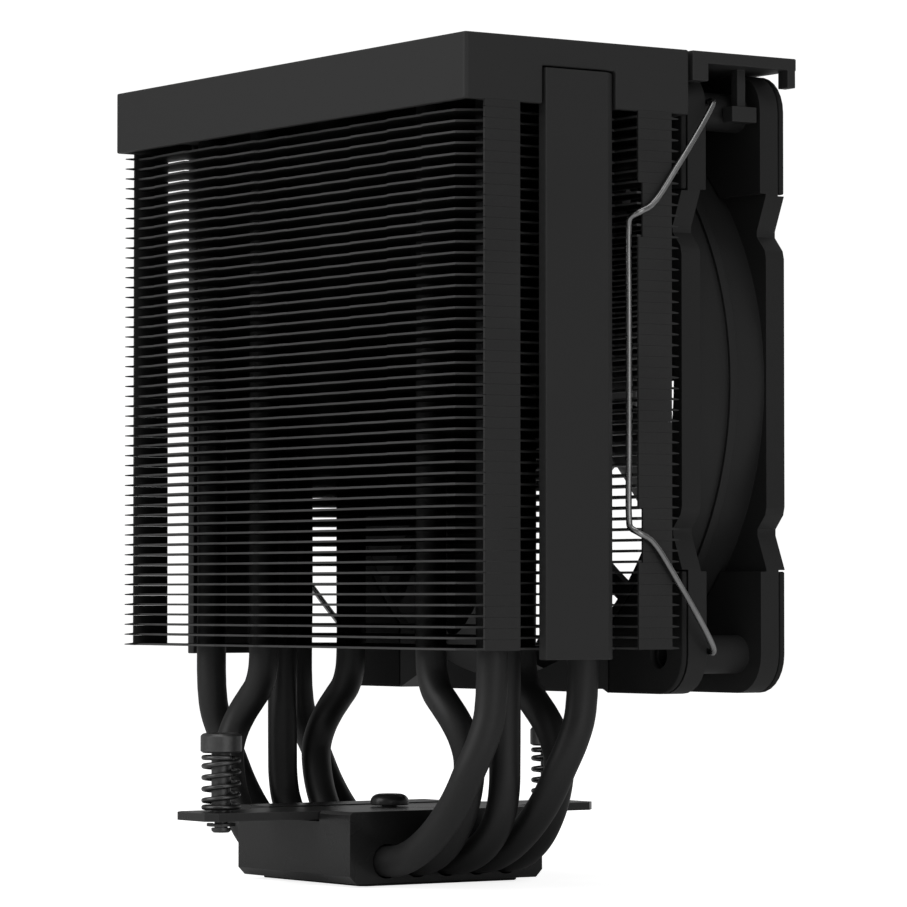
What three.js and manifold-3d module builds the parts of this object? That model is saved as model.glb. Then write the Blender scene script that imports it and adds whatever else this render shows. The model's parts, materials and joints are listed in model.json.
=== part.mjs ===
// Tower cooler: five U-shaped heat pipes, a stack of 50 fins and one 120 mm fan.
// Millimetres, +Z up. Origin: centre of the cold plate's underside.
// X runs along the tower's width, left is -X. The fan is at the front, on the -Y side.
import * as THREE from 'three';
import { mergeVertices } from 'three/addons/utils/BufferGeometryUtils.js';
import Module from 'manifold-3d';

const wasm = await Module();
wasm.setup();

const GAP = 0.3;        // clearance between separate pieces
const OVERSHOOT = 1;    // how far a cutting tool reaches past the face it opens

// ---------------------------------------------------------------- solids
const pointsInward = (geometry) => {
  const { position } = geometry.attributes;
  const index = geometry.index.array;
  const corner = (i) => new THREE.Vector3().fromBufferAttribute(position, index[i]);
  let volume = 0;
  for (let i = 0; i < index.length; i += 3) {
    volume += corner(i).dot(corner(i + 1).cross(corner(i + 2)));
  }
  return volume < 0;
};
// Welds shared vertices, drops empty triangles and turns the faces outwards.
const solid = (source) => {
  const bare = source.index ? source.toNonIndexed() : source.clone();
  for (const key of Object.keys(bare.attributes)) {
    if (key !== 'position') bare.deleteAttribute(key);
  }
  const welded = mergeVertices(bare, 1e-4);
  const index = welded.index.array;
  const kept = [];
  for (let i = 0; i < index.length; i += 3) {
    const [a, b, c] = [index[i], index[i + 1], index[i + 2]];
    if (a !== b && b !== c && c !== a) kept.push(a, b, c);
  }
  welded.setIndex(kept);
  if (pointsInward(welded)) welded.setIndex(kept.reverse());
  return welded;
};
const toManifold = (geometry) => {
  const { attributes, index } = solid(geometry);
  return new wasm.Manifold(new wasm.Mesh({
    numProp: 3,
    vertProperties: Float32Array.from(attributes.position.array),
    triVerts: Uint32Array.from(index.array),
  }));
};
const fromManifold = (manifold) => {
  const mesh = manifold.getMesh();
  const geometry = new THREE.BufferGeometry();
  geometry.setAttribute('position', new THREE.Float32BufferAttribute(mesh.vertProperties, 3));
  geometry.setIndex(Array.from(mesh.triVerts));
  return geometry;
};
const join = (parts) => fromManifold(parts.map(toManifold).reduce((sum, part) => sum.add(part)));
const cut = (body, tools) => fromManifold(
  tools.map(toManifold).reduce((rest, tool) => rest.subtract(tool), toManifold(body)));

// ---------------------------------------------------------------- outlines
const polar = (radius, angle) => [radius * Math.cos(angle), radius * Math.sin(angle)];
const circle = (centreA, centreB, radius, sides, turn = 0) => Array.from({ length: sides }, (_, i) => {
  const [a, b] = polar(radius, turn + (i / sides) * Math.PI * 2);
  return [centreA + a, centreB + b];
});
// Rectangle centred on x = 0 with clipped corners.
const clippedRect = (halfX, yMin, yMax, clip) => [
  [-halfX + clip, yMin], [halfX - clip, yMin], [halfX, yMin + clip], [halfX, yMax - clip],
  [halfX - clip, yMax], [-halfX + clip, yMax], [-halfX, yMax - clip], [-halfX, yMin + clip],
];
const mirrorX = (points) => points.map(([x, ...rest]) => [-x, ...rest]);
// Piece side is -1 for left and 1 for right.
const onSide = (side, points) => (side < 0 ? mirrorX(points) : points);
const rangeOnSide = (side, inner, outer) => (side < 0 ? [-outer, -inner] : [inner, outer]);
// The same points at four quarter turns.
const fourTurns = (points) => [[1, 0], [0, 1], [-1, 0], [0, -1]].flatMap(([cos, sin]) =>
  points.map(([a, b]) => [a * cos - b * sin, a * sin + b * cos]));

// ---------------------------------------------------------------- basic forms
const box = (xMin, xMax, yMin, yMax, zMin, zMax) =>
  new THREE.BoxGeometry(xMax - xMin, yMax - yMin, zMax - zMin)
    .translate((xMin + xMax) / 2, (yMin + yMax) / 2, (zMin + zMax) / 2);
const toVectors = (points) => points.map(([a, b]) => new THREE.Vector2(a, b));
const shapeOf = (outline, holes = []) => {
  const shape = new THREE.Shape(toVectors(outline));
  shape.holes = holes.map((hole) => new THREE.Path(toVectors(hole)));
  return shape;
};
const extrude = (outline, depth, holes) => new THREE.ExtrudeGeometry(
  shapeOf(outline, holes), { depth, bevelEnabled: false, curveSegments: 1 });
// XY outline raised along Z.
const prismZ = (outline, zMin, zMax, holes) =>
  extrude(outline, zMax - zMin, holes).translate(0, 0, zMin);
// XZ outline raised along Y.
const prismY = (outline, yMin, yMax, holes) => extrude(outline, yMax - yMin, holes)
  .applyMatrix4(new THREE.Matrix4().set(1, 0, 0, 0, 0, 0, 1, yMin, 0, 1, 0, 0, 0, 0, 0, 1));
// YZ outline raised along X.
const prismX = (outline, xMin, xMax, holes) => extrude(outline, xMax - xMin, holes)
  .applyMatrix4(new THREE.Matrix4().set(0, 0, 1, xMin, 1, 0, 0, 0, 0, 1, 0, 0, 0, 0, 0, 1));
// (radius, y) profile turned about the Y axis.
const turnedY = (profile, sides) => new THREE.LatheGeometry(toVectors(profile), sides);
// (radius, z) profile turned about the Z axis.
const turnedZ = (profile, sides) => turnedY(profile, sides).rotateX(Math.PI / 2);

// Path through fixed stations, so that straight runs need only two of them.
class StationPath extends THREE.Curve {
  constructor(points) {
    super();
    this.points = points.map((point) => new THREE.Vector3(...point));
    this.count = points.length - 1;
  }

  getPoint(t, out = new THREE.Vector3()) {
    const along = t * this.count;
    const i = Math.min(Math.floor(along + 1e-9), this.count - 1);
    return out.lerpVectors(this.points[i], this.points[i + 1], along - i);
  }

  // Mean direction of the two runs that meet at a station.
  getTangentAt(t, out = new THREE.Vector3()) {
    const i = Math.round(t * this.count);
    const here = this.points[i];
    const arriving = here.clone().sub(this.points[Math.max(i - 1, 0)]).normalize();
    const leaving = this.points[Math.min(i + 1, this.count)].clone().sub(here).normalize();
    return out.copy(arriving.add(leaving)).normalize();
  }

  getSpacedPoints(divisions) {
    return this.getPoints(divisions);
  }
}
const tube = (points, radius, sides) => {
  const path = new StationPath(points);
  return new THREE.ExtrudeGeometry(shapeOf(circle(0, 0, radius, sides)),
    { steps: path.count, bevelEnabled: false, extrudePath: path });
};
// Closed skin through equal loops of points, capped at both ends.
const loft = (loops) => {
  const size = loops[0].length;
  const index = [];
  for (let k = 0; k + 1 < loops.length; k++) {
    for (let i = 0; i < size; i++) {
      const here = k * size + i;
      const next = k * size + ((i + 1) % size);
      index.push(here, next, next + size, here, next + size, here + size);
    }
  }
  const last = (loops.length - 1) * size;
  for (let i = 1; i + 1 < size; i++) {
    index.push(0, i + 1, i, last, last + i, last + i + 1);
  }
  const geometry = new THREE.BufferGeometry();
  geometry.setAttribute('position', new THREE.Float32BufferAttribute(loops.flat(2), 3));
  geometry.setIndex(index);
  return geometry;
};

// ---------------------------------------------------------------- finishes
const finish = (settings) => new THREE.MeshStandardMaterial(settings);
const coat = finish({ color: 0x1f1f20, roughness: 0.62, metalness: 0.25 });   // coated metal
const cover = finish({ color: 0x262627, roughness: 0.55, metalness: 0.1 });   // moulded covers
const plastic = finish({ color: 0x1c1c1d, roughness: 0.6, metalness: 0 });
const bladePlastic = finish({ color: 0x1a1a1b, roughness: 0.45, metalness: 0 });
const rubber = finish({ color: 0x171718, roughness: 0.85, metalness: 0 });
const steel = finish({ color: 0xb9bbbe, roughness: 0.3, metalness: 1 });
const darkSteel = finish({ color: 0x3a3b3d, roughness: 0.45, metalness: 0.8 });
const copper = finish({ color: 0x6b4a36, roughness: 0.4, metalness: 0.9 });
const board = finish({ color: 0x1d3b2a, roughness: 0.6, metalness: 0 });
const magnet = finish({ color: 0x2b2826, roughness: 0.8, metalness: 0.1 });
const bronze = finish({ color: 0x8a6a3c, roughness: 0.4, metalness: 0.9 });
const label = finish({ color: 0x2a2a2c, roughness: 0.5, metalness: 0 });
const winding = finish({ color: 0x9c5a2a, roughness: 0.4, metalness: 0.7 });

const addGroup = (parent) => {
  const group = new THREE.Group();
  parent.add(group);
  return group;
};
const add = (group, name, geometry, material) => {
  const mesh = new THREE.Mesh(solid(geometry), material);
  mesh.name = name;
  group.add(mesh);
};
const cooler = new THREE.Group();

// ---------------------------------------------------------------- base
const PLATE = { halfX: 18.2, halfY: 18.6, bottom: 0, top: 1.5, clip: 1.2 };
const BLOCK = { halfX: 20.2, halfY: 22.6, bottom: 0.6, top: 14.4, lowerClip: 1.5, upperClip: 0.6 };
const BAR = { halfY: 45.8, midHalfX: 9, endHalfX: 7, clip: 2, bottom: 12.6, top: 14.2, screwY: 39 };
const SLOT = { halfX: 9.4, floor: BAR.bottom - GAP };      // lets the mounting bar into the block
const CENTRE_HOLE = { radius: 1.85, bottom: 8.9 };

const PIPE = { radius: 3, top: 153 };
const LANE = { z: 4.8, pitch: 7 };         // straight pipe runs inside the base
const ROW_PITCH = 10.5;                    // spacing of the pipe rows in the fins, along Y
const SHIFT = { top: 37, height: 17 };     // heights in which a pipe moves from row to lane

// Pipe legs: x is the leg's distance from the middle, bend lists (x, z) from leg to lane.
const OUTER_LEG = { x: 50, bend: [
  [50, 34], [49.6, 28.5], [47.6, 23], [44.2, 17.9], [40, 13.6], [35.2, 9.9], [30, 7],
  [25, 5.3], [20.6, LANE.z]] };
const MIDDLE_LEG = { x: 39.5, bend: [
  [39.5, 24], [39.3, 19], [38.2, 14.6], [35.4, 10.4], [31.2, 7.2], [26, 5.3], [20.4, LANE.z]] };
const INNER_LEG = { x: 30, bend: [
  [30, 44], [30.5, 40.5], [32, 37.5], [34.6, 35], [37, 32.2], [38.5, 28.8], [38.6, 24.8],
  [37.2, 19.8], [35.2, 14.6], [31.4, 9.6], [26.6, 6.3], [20.6, LANE.z]] };
// Left leg, right leg, row y, lane y.
const PIPES = [
  [OUTER_LEG, INNER_LEG, ROW_PITCH, 2 * LANE.pitch],
  [INNER_LEG, OUTER_LEG, ROW_PITCH, LANE.pitch],
  [MIDDLE_LEG, MIDDLE_LEG, 0, 0],
  [OUTER_LEG, INNER_LEG, -ROW_PITCH, -LANE.pitch],
  [INNER_LEG, OUTER_LEG, -ROW_PITCH, -2 * LANE.pitch],
];
const PIPE_CENTRES = PIPES.flatMap(([left, right, rowY]) => [[right.x, rowY], [-left.x, rowY]]);

const coldPlate = () => {
  const { halfX, halfY, bottom, top, clip } = PLATE;
  return prismZ(clippedRect(halfX, -halfY, halfY, clip), bottom, top);
};
const baseBlock = () => {
  const { halfX, halfY, bottom, top, lowerClip, upperClip } = BLOCK;
  const body = prismX([
    [-halfY + lowerClip, bottom], [halfY - lowerClip, bottom], [halfY, bottom + lowerClip],
    [halfY, top - upperClip], [halfY - upperClip, top], [-halfY + upperClip, top],
    [-halfY, top - upperClip], [-halfY, bottom + lowerClip],
  ], -halfX, halfX);
  const grooveRadius = PIPE.radius + GAP + 0.02;
  const grooves = PIPES.map(([, , , laneY]) => prismX(
    circle(laneY, LANE.z, grooveRadius, 16, Math.PI / 16), -halfX - OVERSHOOT, halfX + OVERSHOOT));
  const slot = box(-SLOT.halfX, SLOT.halfX, -halfY - OVERSHOOT, halfY + OVERSHOOT,
    SLOT.floor, top + OVERSHOOT);
  const hole = prismZ(circle(0, 0, CENTRE_HOLE.radius, 12), CENTRE_HOLE.bottom, top);
  const pocketX = PLATE.halfX + GAP;
  const pocketY = PLATE.halfY + GAP;
  const pocket = box(-pocketX, pocketX, -pocketY, pocketY, bottom - OVERSHOOT, PLATE.top + GAP);
  return cut(body, [...grooves, slot, hole, pocket]);
};
const smoothStep = (value) => {
  const t = Math.min(Math.max(value, 0), 1);
  return t * t * (3 - 2 * t);
};
const halfPipePath = (leg, rowY, laneY) => [
  [leg.x, rowY, PIPE.top],
  ...leg.bend.map(([x, z]) =>
    [x, rowY + (laneY - rowY) * smoothStep((SHIFT.top - z) / SHIFT.height), z]),
];
const heatPipe = ([left, right, rowY, laneY]) => tube([
  ...mirrorX(halfPipePath(left, rowY, laneY)),
  ...halfPipePath(right, rowY, laneY).reverse(),
], PIPE.radius, 9);

const base = addGroup(cooler);
add(base, 'cold_plate', coldPlate(), copper);
add(base, 'base_block', baseBlock(), coat);
PIPES.forEach((pipe, i) => add(base, `heat_pipe_${i + 1}`, heatPipe(pipe), coat));

// ---------------------------------------------------------------- mounting
const SCREW = { shaft: 1.9, neck: 1.3, socket: 1.7, socketDepth: 2,
  cap: 4, capBottom: 25.5, capTop: 29.3, tip: 10.2, clip: 0.4 };
const SPRING = { radius: 3.3, wire: 0.5, bottom: 15, top: 24.7, turns: 5.5, stepsPerTurn: 8 };
const SCREW_CLIP = { outer: 2.8, inner: 1.65, bottom: 11.4, top: 12 };
// Centre screw profile: radius, z.
const CENTRE_SCREW = [
  [0, 9.2], [1.5, 9.2], [1.5, 14.5], [3.8, 14.5], [3.8, 15.5], [3.4, 16.3],
  [2.5, 16.7], [1.3, 16.7], [1.3, 15.4], [0, 15.4],
];

// Flat bar, wider where it crosses the base.
const mountingBar = () => {
  const { halfY, midHalfX, endHalfX, clip, bottom, top, screwY } = BAR;
  const side = [
    [endHalfX - clip, -halfY], [endHalfX, -halfY + clip], [endHalfX, -30], [midHalfX, -25],
    [midHalfX, 25], [endHalfX, 30], [endHalfX, halfY - clip], [endHalfX - clip, halfY],
  ];
  const holes = [circle(0, screwY, 2.4, 12), circle(0, -screwY, 2.4, 12), circle(0, 0, 1.9, 12)];
  return prismZ([...side, ...mirrorX(side).reverse()], bottom, top, holes);
};
const springScrew = () => {
  const { shaft, neck, socket, socketDepth, cap, capBottom, capTop, tip, clip } = SCREW;
  return turnedZ([
    [0, tip], [shaft - clip, tip], [shaft, tip + clip], [shaft, 11.1], [neck, 11.1],
    [neck, 12.3], [shaft, 12.3], [shaft, capBottom], [cap, capBottom], [cap, capTop - clip],
    [cap - clip, capTop], [socket, capTop], [socket, capTop - socketDepth],
    [0, capTop - socketDepth],
  ], 14);
};
const screwSpring = () => {
  const { radius, wire, bottom, top, turns, stepsPerTurn } = SPRING;
  const steps = Math.round(turns * stepsPerTurn);
  const points = Array.from({ length: steps + 1 }, (_, k) => [
    ...polar(radius, (k / steps) * turns * Math.PI * 2),
    bottom + (top - bottom) * (k / steps),
  ]);
  return tube(points, wire, 4);
};
const screwClip = () => prismZ(circle(0, 0, SCREW_CLIP.outer, 12),
  SCREW_CLIP.bottom, SCREW_CLIP.top, [circle(0, 0, SCREW_CLIP.inner, 12)]);

const mounting = addGroup(cooler);
add(mounting, 'mounting_bar', mountingBar(), coat);
add(mounting, 'centre_screw', turnedZ(CENTRE_SCREW, 16), darkSteel);
[1, -1].forEach((end, i) => {
  const group = addGroup(mounting);
  group.position.set(0, end * BAR.screwY, 0);
  add(group, `spring_screw_${i + 1}`, springScrew(), darkSteel);
  add(group, `screw_spring_${i + 1}`, screwSpring(), darkSteel);
  add(group, `screw_clip_${i + 1}`, screwClip(), darkSteel);
});

// ---------------------------------------------------------------- tower
// Fins are wider at the front and rear (tabs) than in the middle (waist).
const FIN = { count: 50, bottom: 45.6, pitch: 2.047, thickness: 0.4, tabX: 62.7, waistX: 56,
  rear: 21, front: -21.4, waistRear: 13.4, waistFront: -13.9,
  hole: PIPE.radius + GAP, collar: 3.7, collarTurn: 0.12 };
const FIN_TOP = FIN.bottom + (FIN.count - 1) * FIN.pitch + FIN.thickness;
const STRIP = { inner: FIN.tabX + GAP, outer: 63.5, bottom: 45.4, top: 146.6, overhang: 0.4,
  notchDepth: 1, notches: [[63.5, 70.5], [124.8, 131.8]] };
const SPINE = { outer: 64, wall: 1, lip: 1.4, front: -6.5, frontLip: 1.8, rear: 7.9,
  bottom: 43.8, top: 153.9 };
const TOP = { bottom: 147.1, top: 159.5, halfX: 63.5, front: -26.2, rear: 25.8,
  wall: 1.6, roof: 2, clip: 0.5 };
const TRAY = { bottom: 149.6, top: 150.6, inset: TOP.wall + 0.5 };
const RIB = { x: 22, halfWidth: 0.75, gap: 0.4, overlap: 0.2 };

// Plates joined by slightly turned square collars round the pipes.
const finStack = () => {
  const { count, bottom, pitch, thickness, tabX, waistX, rear, front, waistRear, waistFront } = FIN;
  const outline = [
    [-tabX, front], [tabX, front], [tabX, waistFront], [waistX, waistFront],
    [waistX, waistRear], [tabX, waistRear], [tabX, rear], [-tabX, rear],
    [-tabX, waistRear], [-waistX, waistRear], [-waistX, waistFront], [-tabX, waistFront],
  ];
  const plates = Array.from({ length: count }, (_, i) =>
    prismZ(outline, bottom + i * pitch, bottom + i * pitch + thickness));
  const squares = (halfSide, zMin, zMax) => PIPE_CENTRES.map(([x, y]) => prismZ(
    circle(x, y, halfSide * Math.SQRT2, 4, Math.PI / 4 + FIN.collarTurn), zMin, zMax));
  const collars = squares(FIN.collar, bottom + thickness / 2, FIN_TOP - thickness / 2);
  const bores = squares(FIN.hole, bottom - OVERSHOOT, FIN_TOP + OVERSHOOT);
  return cut(join([...plates, ...collars]), bores);
};
// Strip over the tab edges; the front ones have two notches in their rear edge.
const sideStrip = (side, isFront) => {
  const { inner, outer, bottom, top, overhang, notchDepth, notches } = STRIP;
  const [yMin, yMax] = isFront
    ? [FIN.front - overhang, FIN.waistFront] : [FIN.waistRear, FIN.rear + overhang];
  const notchPoints = notches.flatMap(([zMin, zMax]) => [
    [yMax, zMin], [yMax - notchDepth, zMin], [yMax - notchDepth, zMax], [yMax, zMax]]);
  const outline = [
    [yMin, bottom], [yMax, bottom], ...(isFront ? notchPoints : []), [yMax, top], [yMin, top]];
  return prismX(outline, ...rangeOnSide(side, inner, outer));
};
// Shallow channel, open towards the tower, in the middle of the side.
const spine = (side) => {
  const { outer, wall, lip, front, frontLip, rear, bottom, top } = SPINE;
  const web = outer - wall;
  const lipEnd = web - lip;
  return prismZ(onSide(side, [
    [outer, front], [outer, rear], [lipEnd, rear], [lipEnd, rear - 0.8], [web, rear - 0.8],
    [web, front + 0.4], [lipEnd, front - 0.9], [lipEnd, front - frontLip],
    [outer - 1.2, front - frontLip],
  ]), bottom, top);
};
// Carrier plate above the last fin, inside the top cover.
const topPlate = () => {
  const { bottom, top, inset } = TRAY;
  const halfX = TOP.halfX - inset;
  const front = TOP.front + inset;
  const rear = TOP.rear - inset;
  return prismZ([[-halfX, front], [halfX, front], [halfX, rear], [-halfX, rear]], bottom, top,
    PIPE_CENTRES.map(([x, y]) => circle(x, y, 3.6, 6)));
};
// Deep cap, notched for the spines, with two ribs that end just above the carrier plate.
const topCover = () => {
  const { bottom, top, halfX, front, rear, wall, roof, clip } = TOP;
  const shell = cut(prismZ(clippedRect(halfX, front, rear, clip), bottom, top), [
    box(-halfX + wall, halfX - wall, front + wall, rear - wall, bottom - OVERSHOOT, top - roof)]);
  const ribs = [-RIB.x, RIB.x].map((x) => box(x - RIB.halfWidth, x + RIB.halfWidth,
    front + wall - RIB.overlap, rear - wall + RIB.overlap,
    TRAY.top + RIB.gap, top - roof + RIB.overlap));
  const notches = [-1, 1].map((side) => box(
    ...rangeOnSide(side, halfX - wall - OVERSHOOT, halfX + OVERSHOOT),
    SPINE.front - SPINE.frontLip - GAP, SPINE.rear + GAP, bottom - OVERSHOOT, SPINE.top + GAP));
  return cut(join([shell, ...ribs]), notches);
};

const tower = addGroup(cooler);
add(tower, 'fin_stack', finStack(), coat);
[[-1, false], [-1, true], [1, false], [1, true]].forEach(([side, isFront], i) =>
  add(tower, `side_strip_${i + 1}`, sideStrip(side, isFront), coat));
add(tower, 'spine_left', spine(-1), cover);
add(tower, 'spine_right', spine(1), cover);
add(tower, 'top_plate', topPlate(), coat);
add(tower, 'top_cover', topCover(), cover);

// ---------------------------------------------------------------- fan frame
const FAN = { half: 60, axisZ: 96.9, rear: -26.8, front: -51.8, flange: 4.5, pad: 1.2,
  bore: 57.4, duct: 59.3, holeAt: 52.5, hole: 2.2, padHole: 2.6, post: 3.7, corner: 36.5 };
const CORNER_BLOCK = { from: 0.5, to: 5.9 };      // depths below the flange faces
const BEARING_BORE = 3.3;
const CABLE_Y = -29.1;
const QUADRANTS = [[1, 1], [-1, 1], [-1, -1], [1, -1]];

// Fan outlines are (x, z) about the fan's axis.
const atFan = (points) => points.map(([x, z]) => [x, z + FAN.axisZ]);
const fanCircle = (radius, sides, x = 0, z = 0) => atFan(circle(x, z, radius, sides));
const fanDisc = (radius, sides, yMin, yMax, holes) =>
  prismY(fanCircle(radius, sides), yMin, yMax, holes);
const screwCircle = ([signX, signZ], radius, sides) =>
  fanCircle(radius, sides, signX * FAN.holeAt, signZ * FAN.holeAt);
const turnToFan = (geometry, angle) => geometry.rotateY(-angle).translate(0, 0, FAN.axisZ);
const turnedFan = (profile, sides) => turnToFan(turnedY(profile, sides), 0);
// A layer at the rear face and its twin at the front face, between two depths.
const faceLayers = (outline, from, to, holes) => [
  prismY(outline, FAN.rear - to, FAN.rear - from, holes),
  prismY(outline, FAN.front + from, FAN.front + to, holes),
];
const roundedCorner = (edge) => [[edge, edge - 6], [edge - 1.76, edge - 1.76], [edge - 6, edge]];
const flangeOutline = () => {
  const { half, corner } = FAN;
  return atFan(fourTurns([
    [half - 2.8, -28.9], [half, -24], [half, 24], [half - 2.8, 28.9], [half, corner],
    ...roundedCorner(half),
  ]));
};
// Corner of the frame from start to edge, its inner side following a circle.
const cornerOutline = ([signX, signZ], start, radius, edge) => {
  const reach = Math.sqrt(radius * radius - start * start);
  const lowAngle = Math.atan2(start, reach);
  const highAngle = Math.atan2(reach, start);
  const arc = [2, 1].map((i) => polar(radius, lowAngle + (highAngle - lowAngle) * (i / 3)));
  const points = [[reach, start], [edge, start], ...roundedCorner(edge),
    [start, edge], [start, reach], ...arc];
  return atFan(points.map(([x, z]) => [x * signX, z * signZ]));
};
const fanFrame = () => {
  const { half, axisZ, rear, front, flange, pad, bore, duct, hole, post, corner } = FAN;
  const parts = [
    ...faceLayers(flangeOutline(), 0, flange),
    fanDisc(duct, 48, front + 1, rear - 1),
    ...QUADRANTS.flatMap((quadrant) => [
      ...faceLayers(cornerOutline(quadrant, corner, duct + 0.4, half),
        CORNER_BLOCK.from, CORNER_BLOCK.to),
      prismY(screwCircle(quadrant, post, 8), front + 2, rear - 2),
    ]),
  ];
  const cuts = [
    fanDisc(bore, 48, front - OVERSHOOT, rear + OVERSHOOT),
    ...QUADRANTS.flatMap((quadrant) => [
      prismY(screwCircle(quadrant, hole, 6), front - OVERSHOOT, rear + OVERSHOOT),
      ...faceLayers(cornerOutline(quadrant, corner - GAP, duct - 0.1, half + 1.5),
        -OVERSHOOT, pad + GAP),
    ]),
    prismX(circle(CABLE_Y, axisZ, 1.3, 8), bore - 2, half + OVERSHOOT),   // cable exit
  ];
  const struts = [1, 3, 5, 7].map((k) =>
    turnToFan(box(17.5, bore + 1, -30.2, -27.2, -2, 2), k * Math.PI / 4));
  const motorBase = fanDisc(19.5, 24, -29.8, -27.8);
  const bearingTube = fanDisc(4.6, 12, -42.5, -29);
  return cut(join([cut(join(parts), cuts), motorBase, bearingTube, ...struts]),
    [fanDisc(BEARING_BORE, 14, -43, -28.9)]);
};

const fan = addGroup(cooler);
add(fan, 'fan_frame', fanFrame(), plastic);
QUADRANTS.forEach((quadrant, i) => { // pads 1 to 4 are at the rear, 5 to 8 at the front
  const outline = cornerOutline(quadrant, FAN.corner, FAN.duct + 0.3, FAN.half);
  faceLayers(outline, 0, FAN.pad, [screwCircle(quadrant, FAN.padHole, 6)]).forEach(
    (layer, face) => add(fan, `fan_pad_${i + 1 + 4 * face}`, layer, rubber));
});

// ---------------------------------------------------------------- fan motor
const STATOR = { root: 6.6, neck: 12, rim: 14.2, halfWidth: 2 };
// Shaft profile: radius, y.
const SHAFT = [
  [0, -46], [1.5, -46], [1.5, -30.6], [1, -30.6], [1, -29.9], [1.4, -29.9], [1.4, -29.4], [0, -29.4],
];

// Four T-shaped poles on a ring.
const statorCore = () => {
  const { root, neck, rim, halfWidth } = STATOR;
  const pole = [
    [root, -halfWidth], [neck, -halfWidth], polar(neck, -0.62),
    ...[-0.58, -0.2, 0.2, 0.58].map((angle) => polar(rim, angle)),
    polar(neck, 0.62), [neck, halfWidth], [root, halfWidth],
  ];
  return prismY(atFan(fourTurns(pole)), -39, -33, [fanCircle(4.95, 12)]);
};
const statorCoil = (angle) => turnToFan(
  cut(box(7.3, 10.9, -40.4, -31.6, -3.4, 3.4), [box(6, 13, -39.3, -32.7, -2.3, 2.3)]), angle);

add(fan, 'fan_label', fanDisc(17, 28, -27.5, -27.2), label);
add(fan, 'motor_board', fanDisc(15.5, 20, -31.3, -30.1, [fanCircle(5, 12)]), board);
add(fan, 'stator_core', statorCore(), steel);
for (let k = 0; k < 4; k++) {
  add(fan, `stator_coil_${k + 1}`, statorCoil(k * Math.PI / 2), winding);
}
add(fan, 'bearing_bush',
  fanDisc(BEARING_BORE - GAP, 14, -41.5, -31, [fanCircle(1.85, 12)]), bronze);
add(fan, 'rotor_shaft', turnedFan(SHAFT, 12), steel);
add(fan, 'shaft_clip', fanDisc(2.5, 12, -30.45, -30.05, [fanCircle(1.3, 10)]), darkSteel);
add(fan, 'magnet_ring', fanDisc(17.1, 20, -42, -32, [fanCircle(15, 20)]), magnet);

// ---------------------------------------------------------------- rotor
const HUB = { radius: 19.5, inner: 17.4, rear: -31.6, front: -47.9 };
const BLADE = { count: 7, turn: 31.5, stations: [18.6, 27, 36, 46, 56.5] };   // degrees; radii
// Blade section: chord fraction, half thickness.
const BLADE_SECTION = [[0, 0.25], [0.33, 0.8], [0.67, 0.8], [1, 0.25]];

const hubCup = () => {
  const { radius, inner, rear, front } = HUB;
  return turnedFan([
    [0, front], [radius - 2, front], [radius - 0.6, front + 0.5], [radius, front + 1.6],
    [radius, rear], [inner, rear], [inner, -46.2], [4, -46.2], [4, -43.2], [1.8, -43.2],
    [1.8, -46.3], [0, -46.3],
  ], 36);
};
const blade = (k) => {
  const root = BLADE.stations[0];
  const tip = BLADE.stations.at(-1);
  return loft(BLADE.stations.map((radius) => {
    const outward = (radius - root) / (tip - root);
    const wrap = THREE.MathUtils.degToRad(44 - 1.5 * outward);
    const sweep = -6 * outward + 14 * outward ** 2;
    const start = THREE.MathUtils.degToRad(k * 360 / BLADE.count + BLADE.turn + sweep);
    const rearY = -33.2 + 0.9 * outward;
    const frontY = -46.4 - 1.6 * outward + 2.4 * outward ** 2;
    const point = (chord, offset) => {
      const [x, z] = polar(radius, start + wrap * chord);
      const bow = 1.6 * Math.sin(Math.PI * chord);
      return [x, rearY + (frontY - rearY) * chord - bow + offset, FAN.axisZ + z];
    };
    return [
      ...BLADE_SECTION.map(([chord, half]) => point(chord, half)),
      ...BLADE_SECTION.map(([chord, half]) => point(chord, -half)).reverse(),
    ];
  }));
};
add(fan, 'rotor',
  join([hubCup(), ...Array.from({ length: BLADE.count }, (_, k) => blade(k))]), bladePlastic);

// ---------------------------------------------------------------- cable, cover and clips
// Cable stations: x, y, z above the fan's axis.
const CABLE = [
  [20.2, CABLE_Y, 0], [56, CABLE_Y, 0], [60.6, CABLE_Y, 0], [61.8, -29.8, -0.8], [62.2, -32, -3],
  [61.4, -35.5, -8], [59.2, -38, -16], [55.8, -39.2, -25], [53.9, -39.3, -31], [53.5, -39.3, -35.2],
];
const FAN_COVER = { bottom: 157.2, rear: -26.9, front: -52.4, clip: 0.5,
  legBottom: 153.8, legInner: 60.4, overlap: 0.5 };
// Upper half of the right wire: x, y, z. The lower half mirrors it about middleZ.
const WIRE = { radius: 0.6, middleZ: 97.7, upper: [
  [57.1, -33.7, 149.9], [60.6, -33.7, 150.5], [61.9, -32.9, 149.9], [62.9, -30.6, 147],
  [64.5, -22.5, 137], [64.5, -16.4, 129.4], [64.3, -13.6, 127.9], [62.6, -12.6, 126.8],
  [62.2, -12.6, 125.4]] };

const fanConnector = () => cut(box(50.4, 56.6, -44.3, -34.3, 50.2, 61.4),
  [-43.1, -40.5, -37.9, -35.6].map((y) => box(52.6, 54.4, y - 0.5, y + 0.7, 49, 57)));
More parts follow.
